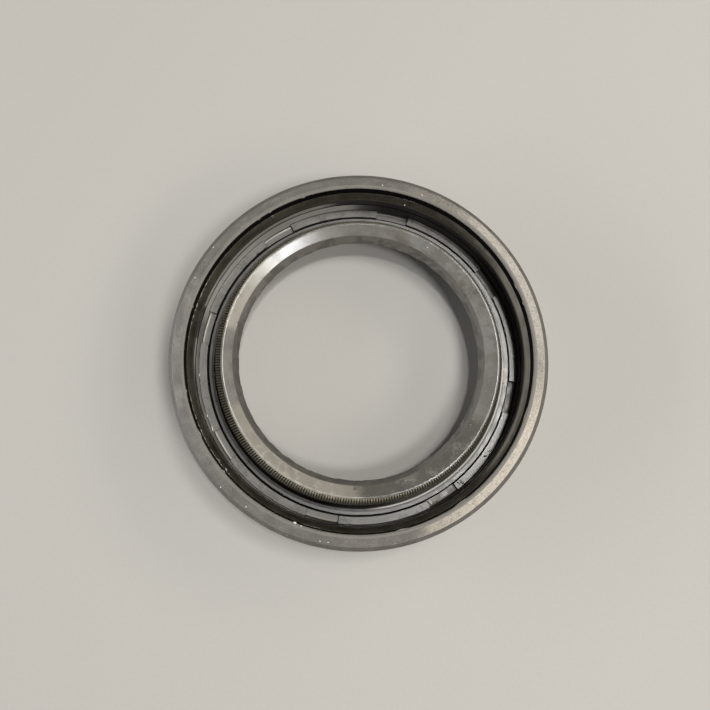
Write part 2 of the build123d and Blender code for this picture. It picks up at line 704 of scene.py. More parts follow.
@dataclass(frozen=True)
class SealSizes:
    """Sizes in millimetres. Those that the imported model's boxes give are read from them."""

    outer_radius: float
    width: float
    case_outer: float
    case_back: float
    case_end: float
    spring_ring: float
    spring_height: float
    spring_coil: float
    sheet: float = 1.0
    lining: float = 0.25
    bevel_width: float = 0.61
    bevel_height: float = 1.58
    nose: float = 0.34
    nose_height: float = 0.6
    inner_bend: float = 0.8
    flange_width: float = 3.2
    window_count: int = 8
    window_angle: float = 11.8
    window_phase: float = 31.9

    @classmethod
    def read(cls) -> "SealSizes":
        """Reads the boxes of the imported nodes.

        Returns:
            The sizes.
        """
        nodes = ("rubber_body", "metal_case", "garter_spring")
        boxes = ([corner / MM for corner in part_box(node)] for node in nodes)
        (_, rubber), (case_low, case), (low, high) = boxes
        coil = (high.z - low.z) / 2
        return cls(outer_radius=rubber.x, width=rubber.z, case_outer=case.x, case_back=case_low.z,
                   case_end=case.z, spring_ring=high.x - coil, spring_height=(high.z + low.z) / 2,
                   spring_coil=coil)

    @property
    def case_inner(self) -> float:
        """Radius of the case's inner wall."""
        return self.case_outer - self.sheet

    @property
    def lining_radius(self) -> float:
        """Radius of the rubber that lines the case."""
        return self.case_inner - self.lining

    @property
    def bend_radius(self) -> float:
        """Radius at which the flange starts to bend upward."""
        return self.case_inner - self.inner_bend

    @property
    def flange_top(self) -> float:
        """Height of the flange's upper face."""
        return self.case_back + self.sheet

    @property
    def bevel_radius(self) -> float:
        """Radius at the top of the bevel on the case's end."""
        return self.case_inner + self.bevel_width

    @property
    def bevel_foot(self) -> float:
        """Height at which the bevel on the case's end starts."""
        return self.case_end - self.bevel_height

    def metal_height(self, radius: float) -> float:
        """Height of the flange's upper face, or of the bend beyond it, at a radius."""
        past = max(0.0, radius - self.bend_radius)
        return self.flange_top + self.inner_bend - math.sqrt(self.inner_bend**2 - past**2)

    def windows(self) -> list[Pair]:
        """First and last azimuth of each window, in degrees."""
        middles = [self.window_phase + 360 * k / self.window_count for k in range(self.window_count)]
        return [(m - self.window_angle / 2, m + self.window_angle / 2) for m in middles]


# ---- the rubber moulding ----


@dataclass
class RubberMoulding:
    """The one-piece rubber body: jacket, rim, lining, windowed ledge, web and lip head."""

    sizes: SealSizes
    columns: int = 480
    gap: float = 0.01
    bore_radius: float = 25.6
    bore_land: float = 1.3
    bore_chamfer: float = 0.3
    back_chamfer: Pair = (0.6, 1.5)
    rim_side: float = 10.82
    shoulder: Pair = (35.23, 11.33)
    crest_radius: float = 33.6
    rim_break: Pair = (33.16, 11.98)
    rim_lip: Pair = (32.92, 11.84)
    ledge_height: float = 2.63
    ledge_inner: float = 30.41
    slot_floor: float = 1.93
    web_ring: Pair = (28.8, 30.0)
    web_ring_height: float = 2.83
    web_dip: float = 29.42
    slot_shifts: Pair = (0.16, 0.04)
    slot_shift_azimuth: float = 332.0
    gap_floor: Pair = (26.9, 28.35)
    gap_floor_height: float = 1.5
    waist: Pair = (25.88, 4.35)
    heel: Pair = (26.4, 5.35)
    head_corner: Pair = (26.62, 10.12)
    head_crown: Pair = (26.3, 10.212)
    head_shift: float = 0.25
    head_shift_azimuth: float = 356.0
    head_bulge: float = 0.12
    head_bulge_azimuth: float = 316.0
    face_foot: Pair = (24.2, 9.39)
    edge: Pair = (23.23, 6.94)
    air_foot: Pair = (24.49, 4.24)
    groove_clearance: float = 0.05
    groove_steps: int = 16
    sill_height: float = 5.45
    groove_line: float = 0.22
    lining_step: float = 0.08
    foot_line: float = 0.1
    shelf_drop: float = 0.12
    groove_skin: float = 0.05
    window_draft: float = 0.06
    window_edge_depth: float = 0.06
    window_rounding: float = 0.1
    window_margin: float = 0.35
    trim_waves: int = 32
    trim_depth: float = 0.09
    trim_offset: float = 0.04
    trim_waver: float = 0.045
    slot_waver: float = 0.014
    weld_distance: float = 1e-7
    crease_angle: float = 38.0
    finishes: dict[Skin, NitrileFinish] = field(default_factory=dict)

    def build(self) -> Piece:
        """Makes the moulding's mesh and dresses it.

        Returns:
            The finished piece.
        """
        rows = self.section()
        angles, depths = self.column_places()
        faces, skins = self.ring_faces(rows, depths)
        mesh = bpy.data.meshes.new("rubber_moulding")
        mesh.from_pydata(self.ring_points(rows, angles, depths).reshape(-1, 3).tolist(), [], faces)
        order = list(self.finishes)
        for skin, finish in self.finishes.items():
            mesh.materials.append(finish.material(skin.value))
        mesh.polygons.foreach_set("material_index", [order.index(s) for s in skins])
        self.weld(mesh, rows, len(angles))
        return new_object("rubber_moulding", mesh)

    def section(self) -> list[Row]:
        """Draws the section.

        Returns:
            Its points once round, outward along the back and up the jacket.
        """
        s, g = self.sizes, self.gap
        flange = s.case_outer - s.sheet - s.flange_width - g
        jacket = [
            Corner(self.bore_radius, self.bore_chamfer, Skin.BORE),
            Corner(self.bore_radius + self.bore_chamfer, 0),
            Corner(s.outer_radius - self.back_chamfer[0], 0, rounding=0.15),
            Corner(s.outer_radius, self.back_chamfer[1], Skin.JACKET, 0.2),
            Corner(s.outer_radius, self.rim_side, Skin.CHAMFER, 0.08),
            Corner(*self.shoulder, Skin.SHOULDER, 0.12),
            Corner(self.crest_radius, s.width, Skin.RIM_BEVEL, 0.1),
            Corner(*self.rim_break, Skin.RIM_BEVEL, 0.4),
            Corner(*self.rim_lip, Skin.RIM_WALL, 0.05),
            Corner(s.bevel_radius, s.case_end, Skin.RIM_WALL),
            Corner(s.case_outer + g, s.case_end),
            Corner(s.case_outer + g, s.case_back - g, rounding=s.inner_bend + s.sheet),
            Corner(flange, s.case_back - g),
            Corner(flange, s.flange_top + g),
            Corner(self.ledge_inner, s.flange_top + g),
        ]
        start, groove, end = self.groove()
        web, low = self.web_ring, self.gap_floor_height
        top = self.web_ring_height
        lip = [
            Corner(self.ledge_inner, self.slot_floor, Skin.SLOT),
            Corner(web[1], self.slot_floor, Skin.SLOT),
            Corner(web[1], top - 0.01, Skin.WEB, 0.06),
            Corner(self.web_dip, top - 0.03, Skin.WEB, 0.12),
            Corner(web[0] + 0.32, top - 0.007, Skin.WEB_EDGE),
            Corner(web[0] + 0.1, top + 0.01, Skin.WEB_EDGE, 0.06),
            Corner(web[0], top - 0.1, Skin.GAP, 0.05),
            Corner(self.gap_floor[1], low, Skin.GAP, 0.3),
            Corner(self.gap_floor[0], low, Skin.GAP, 0.3),
            Corner(*self.waist, Skin.GAP, 0.8),
            Corner(*self.heel, Skin.GROOVE, 0.12),
            Corner(*start, Skin.GROOVE),
        ]
        head = [
            Corner(*end, Skin.GROOVE),
            Corner(*self.head_corner, Skin.HEAD, 0.05),
            Corner(*self.head_crown, Skin.HEAD, 0.5),
            Corner(*self.face_foot, Skin.FACE, 0.08),
            Corner(*self.edge, Skin.BORE),
            Corner(*self.air_foot, Skin.BORE, 0.8),
            Corner(self.bore_radius, self.bore_land, Skin.BORE, 0.8),
            Corner(self.bore_radius, self.bore_chamfer, Skin.BORE),
        ]
        return (round_corners(jacket)[:-1] + self.ledge_rows() + round_corners(lip)[:-1] + groove
                + round_corners(head)[1:-1])

    def top_height(self, radius: float) -> float:
        """Finds the height of the moulding's upper surface.

        Args:
            radius: Radius in millimetres.

        Returns:
            Height in millimetres.
        """
        rows = self.section()
        heights = [0.0]
        for first, last in zip(rows, rows[1:]):
            low, high = sorted((first.radius, last.radius))
            if low <= radius <= high and high > low:
                share = (radius - first.radius) / (last.radius - first.radius)
                heights.append(first.height + share * (last.height - first.height))
        return max(heights)

    def ledge_rows(self) -> list[Row]:
        """Draws the part of the section that the windows cut.

        Returns:
            The points of the ledge's underside, the lining and the ledge's top.
        """
        s, g = self.sizes, self.gap
        # The first stretch, foot_line wide where the lining meets the ledge, is near black: painted shade
        # in that corner.
        top = round_corners([
            Corner(s.lining_radius, self.ledge_height, Skin.SLOT),
            Corner(s.lining_radius - self.foot_line, self.ledge_height, Skin.LEDGE),
            Corner(s.case_inner - s.inner_bend * 0.75, self.ledge_height, Skin.LEDGE),
            Corner(s.bend_radius, self.ledge_height, Skin.LEDGE),
            Corner(self.ledge_inner, self.ledge_height, Skin.LEDGE, 0.05),
            Corner(self.ledge_inner, self.slot_floor, Skin.SLOT),
        ])[:-1]
        for row in top:
            row.crease = row.crease and row.radius != s.bend_radius
            row.window = (row.radius, s.metal_height(row.radius) + g)
            row.film = True
        top[-1].film = False
        underside = [Row(*row.window, crease=True, film=True) for row in reversed(top)]
        underside[-1].film = False
        bend = s.inner_bend - g
        arc = [Row(s.bend_radius + bend * math.sin(a), s.flange_top + s.inner_bend - bend * math.cos(a))
               for a in np.radians((55, 72, 90))]
        wall = s.case_inner - g
        groove = wall - self.groove_skin
        shelf = s.bevel_foot - s.nose_height - self.shelf_drop
        recess = s.lining_radius + self.lining_step
        # The groove between the lining's upper strip and its lower strip is near black: painted shade in
        # it.
        lining = [
            Row(radius, height, skin, crease=True)
            for radius, height, skin in (
                (wall, shelf, Skin.LINING),
                (recess, shelf, Skin.LINING),
                (recess, self.sill_height + self.groove_line, Skin.SLOT),
                (groove, self.sill_height + self.groove_line, Skin.SLOT),
                (groove, self.sill_height, Skin.SLOT),
                (s.lining_radius, self.sill_height, Skin.STRIP),
            )
        ]
        return underside + arc + lining + top

    def groove(self) -> tuple[Pair, list[Row], Pair]:
        """Finds the spring's groove, which is cut in the head's back.

        Returns:
            Where it starts below the spring, its arc, and where it ends above the spring.
        """
        s = self.sizes
        reach = s.spring_coil + self.groove_clearance
        centre = np.array((s.spring_ring, s.spring_height))
        heel = np.array(self.heel)
        back = np.array((self.head_corner[0], s.spring_height))
        line = heel + np.linspace(0, 1, 2001)[:, None] * (back - heel)
        start = line[np.argmax(np.linalg.norm(line - centre, axis=1) <= reach)]
        rise = math.sqrt(reach**2 - (self.head_corner[0] - s.spring_ring) ** 2)
        end = (self.head_corner[0], s.spring_height + rise)
        first = math.atan2(*(start - centre)[::-1]) % math.tau
        last = math.atan2(*(end - centre)[::-1])
        rows = []
        for k in range(self.groove_steps + 1):
            angle = first + (last - first) * k / self.groove_steps
            place = (s.spring_ring + reach * math.cos(angle), s.spring_height + reach * math.sin(angle))
            rows.append(Row(*place, Skin.GROOVE, crease=k in (0, self.groove_steps)))
        return (float(start[0]), float(start[1])), rows, end

    def column_places(self) -> tuple[np.ndarray, np.ndarray]:
        """Places the mesh's columns, closer together at the windows' ends.

        Returns:
            Their azimuths in radians, and how deep the windows are cut there.
        """
        cuts: dict[float, float] = {}
        windows = self.sizes.windows()
        for first, last in windows:
            for edge, inward in ((first, 1), (last, -1)):
                cuts[edge - inward * (self.window_draft / 2 + self.window_rounding)] = 0.0
                cuts[edge - inward * self.window_draft / 2] = self.window_edge_depth
                cuts[edge + inward * self.window_draft / 2] = 1.0
        for k in range(self.columns):
            angle = 360 * k / self.columns
            turned = [[(angle - edge + 180) % 360 - 180 for edge in window] for window in windows]
            if min(abs(turn) for pair in turned for turn in pair) > self.window_margin:
                cuts[angle] = float(any(0 < a < self.sizes.window_angle for a, _ in turned))
        places = sorted(cuts)
        return np.radians(places), np.array([cuts[p] for p in places])

    def ring_points(self, rows: list[Row], angles: np.ndarray, depths: np.ndarray) -> np.ndarray:
        """Places every row at every column, with the small faults of a used mould.

        Args:
            rows: The section.
            angles: The columns' azimuths in radians.
            depths: How deep the windows are cut at each column.

        Returns:
            The points in metres, by row and column.
        """
        places = np.array([[row.place(depth) for depth in depths] for row in rows])
        edge_row = min(range(len(rows)), key=lambda i: rows[i].radius)
        places[edge_row, :, 0] += self.edge_wander(angles)
        # The trimmed head is pressed a little to one side, so its crown is not quite concentric.
        head = [i for i, row in enumerate(rows) if row.skin is Skin.HEAD]
        crown = [i for i in head if rows[i].radius > self.bore_radius]
        places[crown, :, 0] += self.head_shift * np.cos(angles - math.radians(self.head_shift_azimuth))
        bulge = np.clip(np.cos(angles - math.radians(self.head_bulge_azimuth)), 0.0, None) ** 2
        places[crown, :, 0] += self.head_bulge * bulge
        # The slot is a little off centre and narrows to one side, and its walls waver.
        side = np.cos(angles - math.radians(self.slot_shift_azimuth))
        waver = wave_sum(angles, self.slot_waver, 53, 7, seed=9)
        for i, row in enumerate(rows):
            above = row.height >= self.sizes.flange_top
            if above and self.web_dip < row.radius < self.ledge_inner + 0.1:
                places[i, :, 0] += self.slot_shifts[row.radius > self.web_ring[1]] * side + waver
        radius, height = places[..., 0], places[..., 1]
        return np.stack([radius * np.cos(angles), radius * np.sin(angles), height], -1) * MM

    def edge_wander(self, angles: np.ndarray) -> np.ndarray:
        """Gives the sealing edge's small steps and waves.

        Args:
            angles: The columns' azimuths in radians.

        Returns:
            The edge's way outward from its circle, in millimetres.
        """
        teeth = (angles * self.trim_waves / math.tau + 0.2 * np.sin(5 * angles)) % 1.0
        steps = self.trim_depth * np.clip(teeth * 1.3, 0, 1)
        return steps + self.trim_offset + wave_sum(angles, self.trim_waver, 41, 9, seed=4)

    def ring_faces(self, rows: list[Row], depths: np.ndarray) -> tuple[list[tuple], list[Skin]]:
        """Lists the quads between neighbouring rows and columns, without the windows' films.

        Args:
            rows: The section.
            depths: How deep the windows are cut at each column.

        Returns:
            The quads and the skin of each.
        """
        faces, skins = [], []
        across = len(depths)
        for i, row in enumerate(rows):
            here, below = i * across, (i + 1) % len(rows) * across
            for j in range(across):
                beside = (j + 1) % across
                if row.film and depths[j] == depths[beside] == 1.0:
                    continue
                faces.append((here + j, here + beside, below + beside, below + j))
                skins.append(row.skin)
        return faces, skins

    def weld(self, mesh: Mesh, rows: list[Row], across: int) -> None:
        """Joins the windows' edges, creases the section's corners and counts open edges.

        Args:
            mesh: The moulding's mesh, which is changed.
            rows: The section.
            across: Number of columns.
        """
        shape = bmesh.new()
        shape.from_mesh(mesh)
        layer = shape.verts.layers.int.new("row")
        for index, vertex in enumerate(shape.verts):
            vertex[layer] = index // across
        bmesh.ops.remove_doubles(shape, verts=shape.verts, dist=self.weld_distance)
        loose = [v for v in shape.verts if not v.link_faces]
        bmesh.ops.delete(shape, geom=loose, context="VERTS")
        for edge in shape.edges:
            first, last = (vertex[layer] for vertex in edge.verts)
            on_crease = first == last and rows[first].crease
            edge.smooth = not on_crease and edge.calc_face_angle(0.0) < math.radians(self.crease_angle)
        for face in shape.faces:
            face.smooth = True
        open_edges = sum(len(edge.link_faces) != 2 for edge in shape.edges)
        LOG.info("rubber_moulding: %d open edges, volume %.0f mm3", open_edges,
                 shape.calc_volume(signed=True) / MM**3)
        shape.verts.layers.int.remove(layer)
        shape.to_mesh(mesh)
        shape.free()


# ---- the steel case and the garter spring ----


@dataclass
class SteelCase:
    """The drawn case: one L-shaped ring of sheet with a bevelled end."""

    sizes: SealSizes
    finish: SteelFinish
    columns: int = 480

    def build(self) -> Piece:
        """Draws the case's section and turns it round the axis.

        Returns:
            The finished piece.
        """
        s = self.sizes
        flange = s.case_inner - s.flange_width
        # The bevel's foot is peened inward over the lining.
        nose = s.case_inner - s.nose
        corners = [
            Corner(flange, s.flange_top),
            Corner(flange, s.case_back),
            Corner(s.case_outer, s.case_back, rounding=s.inner_bend + s.sheet),
            Corner(s.case_outer, s.case_end),
            Corner(s.bevel_radius, s.case_end),
            Corner(nose, s.bevel_foot, rounding=0.05),
            Corner(nose, s.bevel_foot - s.nose_height),
            Corner(s.case_inner, s.bevel_foot - s.nose_height - 0.1),
            Corner(s.case_inner, s.flange_top, rounding=s.inner_bend),
            Corner(flange, s.flange_top),
        ]
        rows = round_corners(corners)[-2::-1]
        # Curve to Mesh lays a profile's Y downward, so heights are given as minus Y.
        points = [((row.radius - s.case_inner) * MM, -row.height * MM, 0.0) for row in rows]
        mesh = bpy.data.meshes.new("case_section")
        mesh.from_pydata(points, [(i, (i + 1) % len(points)) for i in range(len(points))], [])
        values = {"Columns": self.columns, "Ring Radius": s.case_inner * MM,
                  "Material": self.finish.material("drawn_case_steel")}
        return grow("steel_case", "Turned Ring", mesh, values, self.draw, crease=25)

    def draw(self, g: Graph, given: Any) -> Socket:
        """Adds the nodes that sweep the section round a circle.

        Args:
            g: The tree that is being built.
            given: The tree's inputs.

        Returns:
            The shape.
        """
        circle = g.add(CIRCLE, {"Resolution": given["Columns"], "Radius": given["Ring Radius"]})
        return g.add(SWEEP, (circle, g.add("GeometryNodeMeshToCurve", (given["Geometry"],))))


@dataclass
class GarterSpring:
    """The close-wound spring, bent to a ring, that presses the lip to the shaft."""

    sizes: SealSizes
    finish: SteelFinish
    turns: int = 334
    wire: float = 0.42
    points_per_turn: int = 14
    wire_sides: int = 8

    def build(self) -> Piece:
        """Winds the wire.

        Returns:
            The finished piece.
        """
        values = {
            "Turns": self.turns,
            "Points per Turn": self.points_per_turn,
            "Ring Radius": self.sizes.spring_ring * MM,
            "Ring Height": self.sizes.spring_height * MM,
            "Coil Radius": (self.sizes.spring_coil - self.wire / 2) * MM,
            "Wire Radius": self.wire / 2 * MM,
            "Wire Sides": self.wire_sides,
            "Material": self.finish.material("spring_wire_steel"),
        }
        start = bpy.data.meshes.new("spring_coil")
        return grow("spring_coil", "Ring Helix", start, values, self.draw, crease=80)

    def draw(self, g: Graph, given: Any) -> Socket:
        """Adds the nodes that bend a circle's points to a helix round the same circle.

        Args:
            g: The tree that is being built.
            given: The tree's inputs.

        Returns:
            The shape.
        """
        count = g.add(MATH, (given["Turns"], given["Points per Turn"]), "MULTIPLY")
        circle = g.add(CIRCLE, {"Resolution": count, "Radius": given["Ring Radius"]})
        share = g.add(MATH, (g.add("GeometryNodeInputIndex"), count), "DIVIDE")
        around = g.add(MATH, (share, math.tau), "MULTIPLY")
        wound = g.add(MATH, (around, given["Turns"]), "MULTIPLY")
        parts = ("COSINE", "SINE")
        outward, upward = (
            g.add(MATH, (g.add(MATH, (wound,), part), given["Coil Radius"]), "MULTIPLY")
            for part in parts
        )
        radius = g.add(MATH, (given["Ring Radius"], outward), "ADD")
        x, y = (g.add(MATH, (radius, g.add(MATH, (around,), part)), "MULTIPLY") for part in parts)
        z = g.add(MATH, (given["Ring Height"], upward), "ADD")
        helix = g.add(MOVE, {"Geometry": circle, "Position": g.add(JOIN, (x, y, z))})
        wire = g.add(CIRCLE, {"Resolution": given["Wire Sides"], "Radius": given["Wire Radius"]})
        return g.add(SWEEP, (helix, wire))


# ---- mould flash, crumbs and dust ----


@dataclass(frozen=True)
class Nib:
    """A wider place in a line of flash: its azimuth, reach and half width in millimetres."""

    azimuth: float
    reach: float
    half_width: float


@dataclass
class FlashLine:
    """A ragged film of rubber along one ring edge, where the mould's halves met.

    thickness is a share of the film's reach. Noise below tear tears the film off, and noise at
    whole leaves its full reach.
    """

    name: str
    ring_radius: float
    ring_height: float
    nibs: tuple[Nib, ...]
    finish: ScrapFinish
    least: float = 0.012
    tear: float = 0.2
    whole: float = 0.7
    lump: float = 0.3
    thickness: float = 0.3
    drop: float = 0.1
    columns: int = 2880
    seed: float = 3.0

    def build(self) -> Piece:
        """Makes the film: its reach follows noise round the ring and widens at the nibs.

        Returns:
            The finished piece.
        """
        places = [(n.azimuth, self.ring_radius, self.ring_height) for n in self.nibs]
        marks = {
            "reach": [n.reach for n in self.nibs],
            "half_width": [n.half_width * MM for n in self.nibs],
        }
        values = {
            "Columns": self.columns,
            "Ring Radius": self.ring_radius * MM,
            "Ring Height": self.ring_height * MM,
            "Least Reach": self.least,
            "Tear": self.tear,
            "Whole": self.whole,
            "Lump Size": self.lump * MM,
            "Thickness": self.thickness * MM,
            "Drop": self.drop * MM,
            "Seed": self.seed,
            "Material": self.finish.material(),
        }
        start = point_mesh(self.name, places, marks)
        return grow(self.name, f"Flash {self.name}", start, values, self.draw, crease=50)

    def draw(self, g: Graph, given: Any) -> Socket:
        """Adds the nodes that sweep a thin wedge of changing reach round a circle.

        Args:
            g: The tree that is being built.
            given: The tree's inputs.

        Returns:
            The shape.
        """
        circle = g.add(CIRCLE, {"Resolution": given["Columns"], "Radius": given["Ring Radius"]})
        raised = g.add(MOVE, {"Geometry": circle, "Offset": g.add(JOIN, {"Z": given["Ring Height"]})})
        place = g.add("GeometryNodeInputPosition")
        noise = {"Vector": place, "W": given["Seed"], "Detail": 4.0, "Roughness": 0.75,
                 "Scale": g.add(MATH, (1.0, given["Lump Size"]), "DIVIDE")}
        level = g.add(NOISE, noise, noise_dimensions="4D")
        nearest = g.add("GeometryNodeSampleNearest", (given["Geometry"], place))
        nibs = given["Geometry"]
        reach, width, middle = (
            g.add(SAMPLE, {"Geometry": nibs, "Value": value, "Index": nearest}, data_type=kind)
            for value, kind in (
                (g.add(ATTRIBUTE, {"Name": "reach"}), "FLOAT"),
                (g.add(ATTRIBUTE, {"Name": "half_width"}), "FLOAT"),
                (place, "FLOAT_VECTOR"),
            )
        )
        away = g.add(MATH, (g.add(VECTOR, (place, middle), "DISTANCE", "Value"), width), "DIVIDE")
        close, left = (
            g.add(MATH, (g.add(MATH, pair, "SUBTRACT"), 0.0), "MAXIMUM")
            for pair in ((1.0, away), (level, given["Tear"]))
        )
        nib = g.add(MATH, (close, reach), "MULTIPLY")
        share = g.add(MATH, (left, g.add(MATH, (given["Whole"], given["Tear"]), "SUBTRACT")), "DIVIDE")
        total = g.add(MATH, (given["Least Reach"], g.add(MATH, (nib, share), "MULTIPLY")), "ADD")
        return g.add(SWEEP, {"Curve": raised, "Profile Curve": self.wedge(g, given), "Scale": total})

    def wedge(self, g: Graph, given: Any) -> Socket:
        """Draws the film's section for a reach of 1 mm: a thin four-sided wedge that points inward.

        Args:
            g: The tree that is being built.
            given: The tree's inputs.

        Returns:
            The section's curve.
        """
        high = g.add(MATH, (given["Thickness"], 0.5), "MULTIPLY")
        low = g.add(MATH, (high, -1.0), "MULTIPLY")
        corners = {}
        root = 0.25 * MM
        for i, (across, side) in enumerate(((root, low), (root, high), (-MM, high), (-MM, low)), 1):
            y = g.add(MATH, (side, given["Drop"]), "ADD") if across < 0 else side
            corners[f"Point {i}"] = g.add(JOIN, (across, y))
        return g.add("GeometryNodeCurvePrimitiveQuadrilateral", corners, mode="POINTS")


@dataclass(frozen=True)
class Crumb:
    """A loose scrap or fleck: azimuth and heading in degrees, radius, height and size in millimetres.

    The heading is the way a long scrap points, from outward at 0 to along the ring at 90.
    """

    azimuth: float
    radius: float
    height: float
    size: float
    stretch: float = 1.0
    heading: float = 0.0


@dataclass
class Scraps:
    """Scraps of trimmed rubber, talc and lint that stick to the moulding."""

    name: str
    crumbs: tuple[Crumb, ...]
    finish: ScrapFinish
    flatness: float = 0.45
    seed: int = 11

    def build(self) -> Piece:
        """Sets one small uneven grain on each listed place.

        Returns:
            The finished piece.
        """
        places = [(c.azimuth, c.radius, c.height) for c in self.crumbs]
        marks = {
            "size": [c.size / 2 * MM for c in self.crumbs],
            "stretch": [c.stretch for c in self.crumbs],
            "turn": [math.radians(c.azimuth + c.heading) for c in self.crumbs],
        }
        values = {"Flatness": self.flatness, "Seed": self.seed, "Material": self.finish.material()}
        start = point_mesh(self.name, places, marks)
        return grow(self.name, f"Scatter {self.name}", start, values, self.draw, crease=60)

    def draw(self, g: Graph, given: Any) -> Socket:
        """Adds the nodes that set a turned and stretched grain on each point.

        Args:
            g: The tree that is being built.
            given: The tree's inputs.

        Returns:
            The shape.
        """
        grain = g.add("GeometryNodeMeshIcoSphere", {"Radius": 1.0, "Subdivisions": 2})
        rough = g.add(NOISE, {"Scale": 1.6, "Detail": 2.0}, output="Color")
        centred = g.add(VECTOR, (rough, (0.5, 0.5, 0.5)), "SUBTRACT")
        lumpy = g.add(MOVE, {"Geometry": grain, "Offset": centred})
        limits = {"Min": (-0.15, -0.15, -0.1), "Max": (0.15, 0.15, 0.1), "Seed": given["Seed"]}
        tilt = g.add("FunctionNodeRandomValue", limits, data_type="FLOAT_VECTOR")
        size, stretch, turn = (g.add(ATTRIBUTE, {"Name": name}) for name in ("size", "stretch", "turn"))
        spin = g.add(VECTOR, (tilt, g.add(JOIN, {"Z": turn})), "ADD")
        shares = (stretch, given["Flatness"])
        length, height = (g.add(MATH, (size, share), "MULTIPLY") for share in shares)
        return g.add("GeometryNodeInstanceOnPoints", {
            "Points": given["Geometry"],
            "Instance": lumpy,
            "Rotation": g.add("FunctionNodeEulerToRotation", (spin,)),
            "Scale": g.add(JOIN, (length, size, height)),
        })


def dust(moulding: RubberMoulding, count: int, bands: tuple[Pair, ...], seed: int) -> tuple[Crumb, ...]:
    """Scatters specks of dust over the moulding's upper surfaces.

    Args:
        moulding: The moulding, which gives the heights.
        count: Number of specks.
        bands: First and last radius of each band that takes dust, in millimetres.
        seed: Seed of the places.

    Returns:
        The specks.
    """
    rng = np.random.default_rng(seed)
    specks = []
    for _ in range(count):
        radius = rng.uniform(*bands[rng.integers(len(bands))])
        size = rng.uniform(*SPECK_SIZES)
        azimuth, stretch, heading = (rng.uniform(*ends) for ends in ((0, 360), SPECK_STRETCHES, (0, 180)))
        specks.append(Crumb(azimuth, radius, moulding.top_height(radius), size, stretch, heading))
    return tuple(specks)


# ---- studio ----


@dataclass(frozen=True)
class Lamp:
    """A soft lamp, placed by its direction from the seal: round, or a level strip if it has a height.

    share is the light that it gives to a level surface, where 1 shows a colour as written.
    """

    name: str
    azimuth: float
    elevation: float
    width_degrees: float
    share: float
    colour: str
    height_degrees: float = 0.0
    distance: float = 1.2

    def build(self, target: Vector) -> None:
        """Makes the lamp.

        Args:
            target: The point that it is turned to.
        """
        a, e = math.radians(self.azimuth), math.radians(self.elevation)
        towards = Vector((math.cos(a) * math.cos(e), math.sin(a) * math.cos(e), math.sin(e)))
        data = bpy.data.lights.new(self.name, "AREA")
        data.shape = "RECTANGLE" if self.height_degrees else "DISK"
        data.size = 2 * self.distance * math.tan(math.radians(self.width_degrees) / 2)
        data.size_y = 2 * self.distance * math.tan(math.radians(self.height_degrees) / 2)
        data.energy = self.share * (math.pi * self.distance) ** 2 / math.sin(e)
        data.color = srgb_to_linear(self.colour)[:3]
        lamp = new_object(self.name, data)
        lamp.location = target + towards * self.distance
        lamp.rotation_euler = towards.to_track_quat("Z", "Y").to_euler()


@dataclass
class Studio:
    """Pale floor, soft lamps, pale surroundings and the camera."""

    lamps: tuple[Lamp, ...]
    lamp_target: Triple = (0.0, 0.0, 6.0)
    floor_colour: str = "B2B0AC"
    floor_size: float = 4.0
    floor_drop: float = 0.00002
    surround_level: float = 0.02
    gloss_level: float = 0.2
    backdrop_level: float = 0.62
    backdrop_colour: str = "F2F1EE"
    camera_place: Triple = (-2.556, -19.675, 144.35)
    camera_turn: Triple = (8.47861584, -0.76472258, 0.0)
    lens: float = 36.10
    sensor: float = 36.0

    def build(self) -> None:
        """Makes everything round the seal."""
        for lamp in self.lamps:
            lamp.build(Vector(self.lamp_target) * MM)
        self.floor()
        self.surroundings()
        self.camera()
        bpy.context.scene.view_settings.view_transform = "Standard"

    def floor(self) -> None:
        """Lays a plain matt sheet under the seal."""
        half, z = self.floor_size / 2, -self.floor_drop
        mesh = bpy.data.meshes.new("floor")
        mesh.from_pydata([(-half, -half, z), (half, -half, z), (half, half, z), (-half, half, z)], [],
                         [(0, 1, 2, 3)])
        s = Surface.start("studio_paper")
        grain = s.add(NOISE, lumps(s.place, 0.6, 3, 0.55))
        shade = s.add(STEP, (grain, *NOISE_SPAN, 0.985, 1.015), **SMOOTH)
        colour = s.lay(self.floor_colour, Coat(1.0, shade, "MULTIPLY"))
        mesh.materials.append(s.dress(colour, 0.7))
        new_object("floor", mesh)

    def surroundings(self) -> None:
        """Lights the seal dimly from all sides and shows a pale backdrop to camera, gloss and glass."""
        world = bpy.data.worlds.new("surroundings")
        bpy.context.scene.world = world
        world.use_nodes = True
        g = Graph(world.node_tree)
        g.tree.nodes.clear()
        rays = g.add("ShaderNodeLightPath").node.outputs
        level = self.surround_level
        for kind, shown in (("Is Glossy Ray", self.gloss_level), ("Is Camera Ray", self.backdrop_level),
                            ("Is Transmission Ray", self.backdrop_level)):
            rest = g.add(MATH, (g.add(MATH, (1.0, rays[kind]), "SUBTRACT"), level), "MULTIPLY")
            level = g.add(MATH, (rest, g.add(MATH, (rays[kind], shown), "MULTIPLY")), "ADD")
        background = g.add("ShaderNodeBackground", (self.backdrop_colour, level))
        g.add("ShaderNodeOutputWorld", (background,))

    def camera(self) -> None:
        """Places the camera above the seal, a little to its front."""
        data = bpy.data.cameras.new("camera")
        data.sensor_width = self.sensor
        data.lens = self.lens
        data.clip_start = 0.01
        camera = new_object("camera", data)
        camera.location = Vector(self.camera_place) * MM
        camera.rotation_euler = tuple(math.radians(x) for x in self.camera_turn)
        bpy.context.scene.camera = camera


# ---- the seal's own finishes and pieces ----


def listed(kind: type, *rows: tuple) -> tuple:
    """Makes one item of a kind from each row of its values."""
    return tuple(kind(*row) for row in rows)
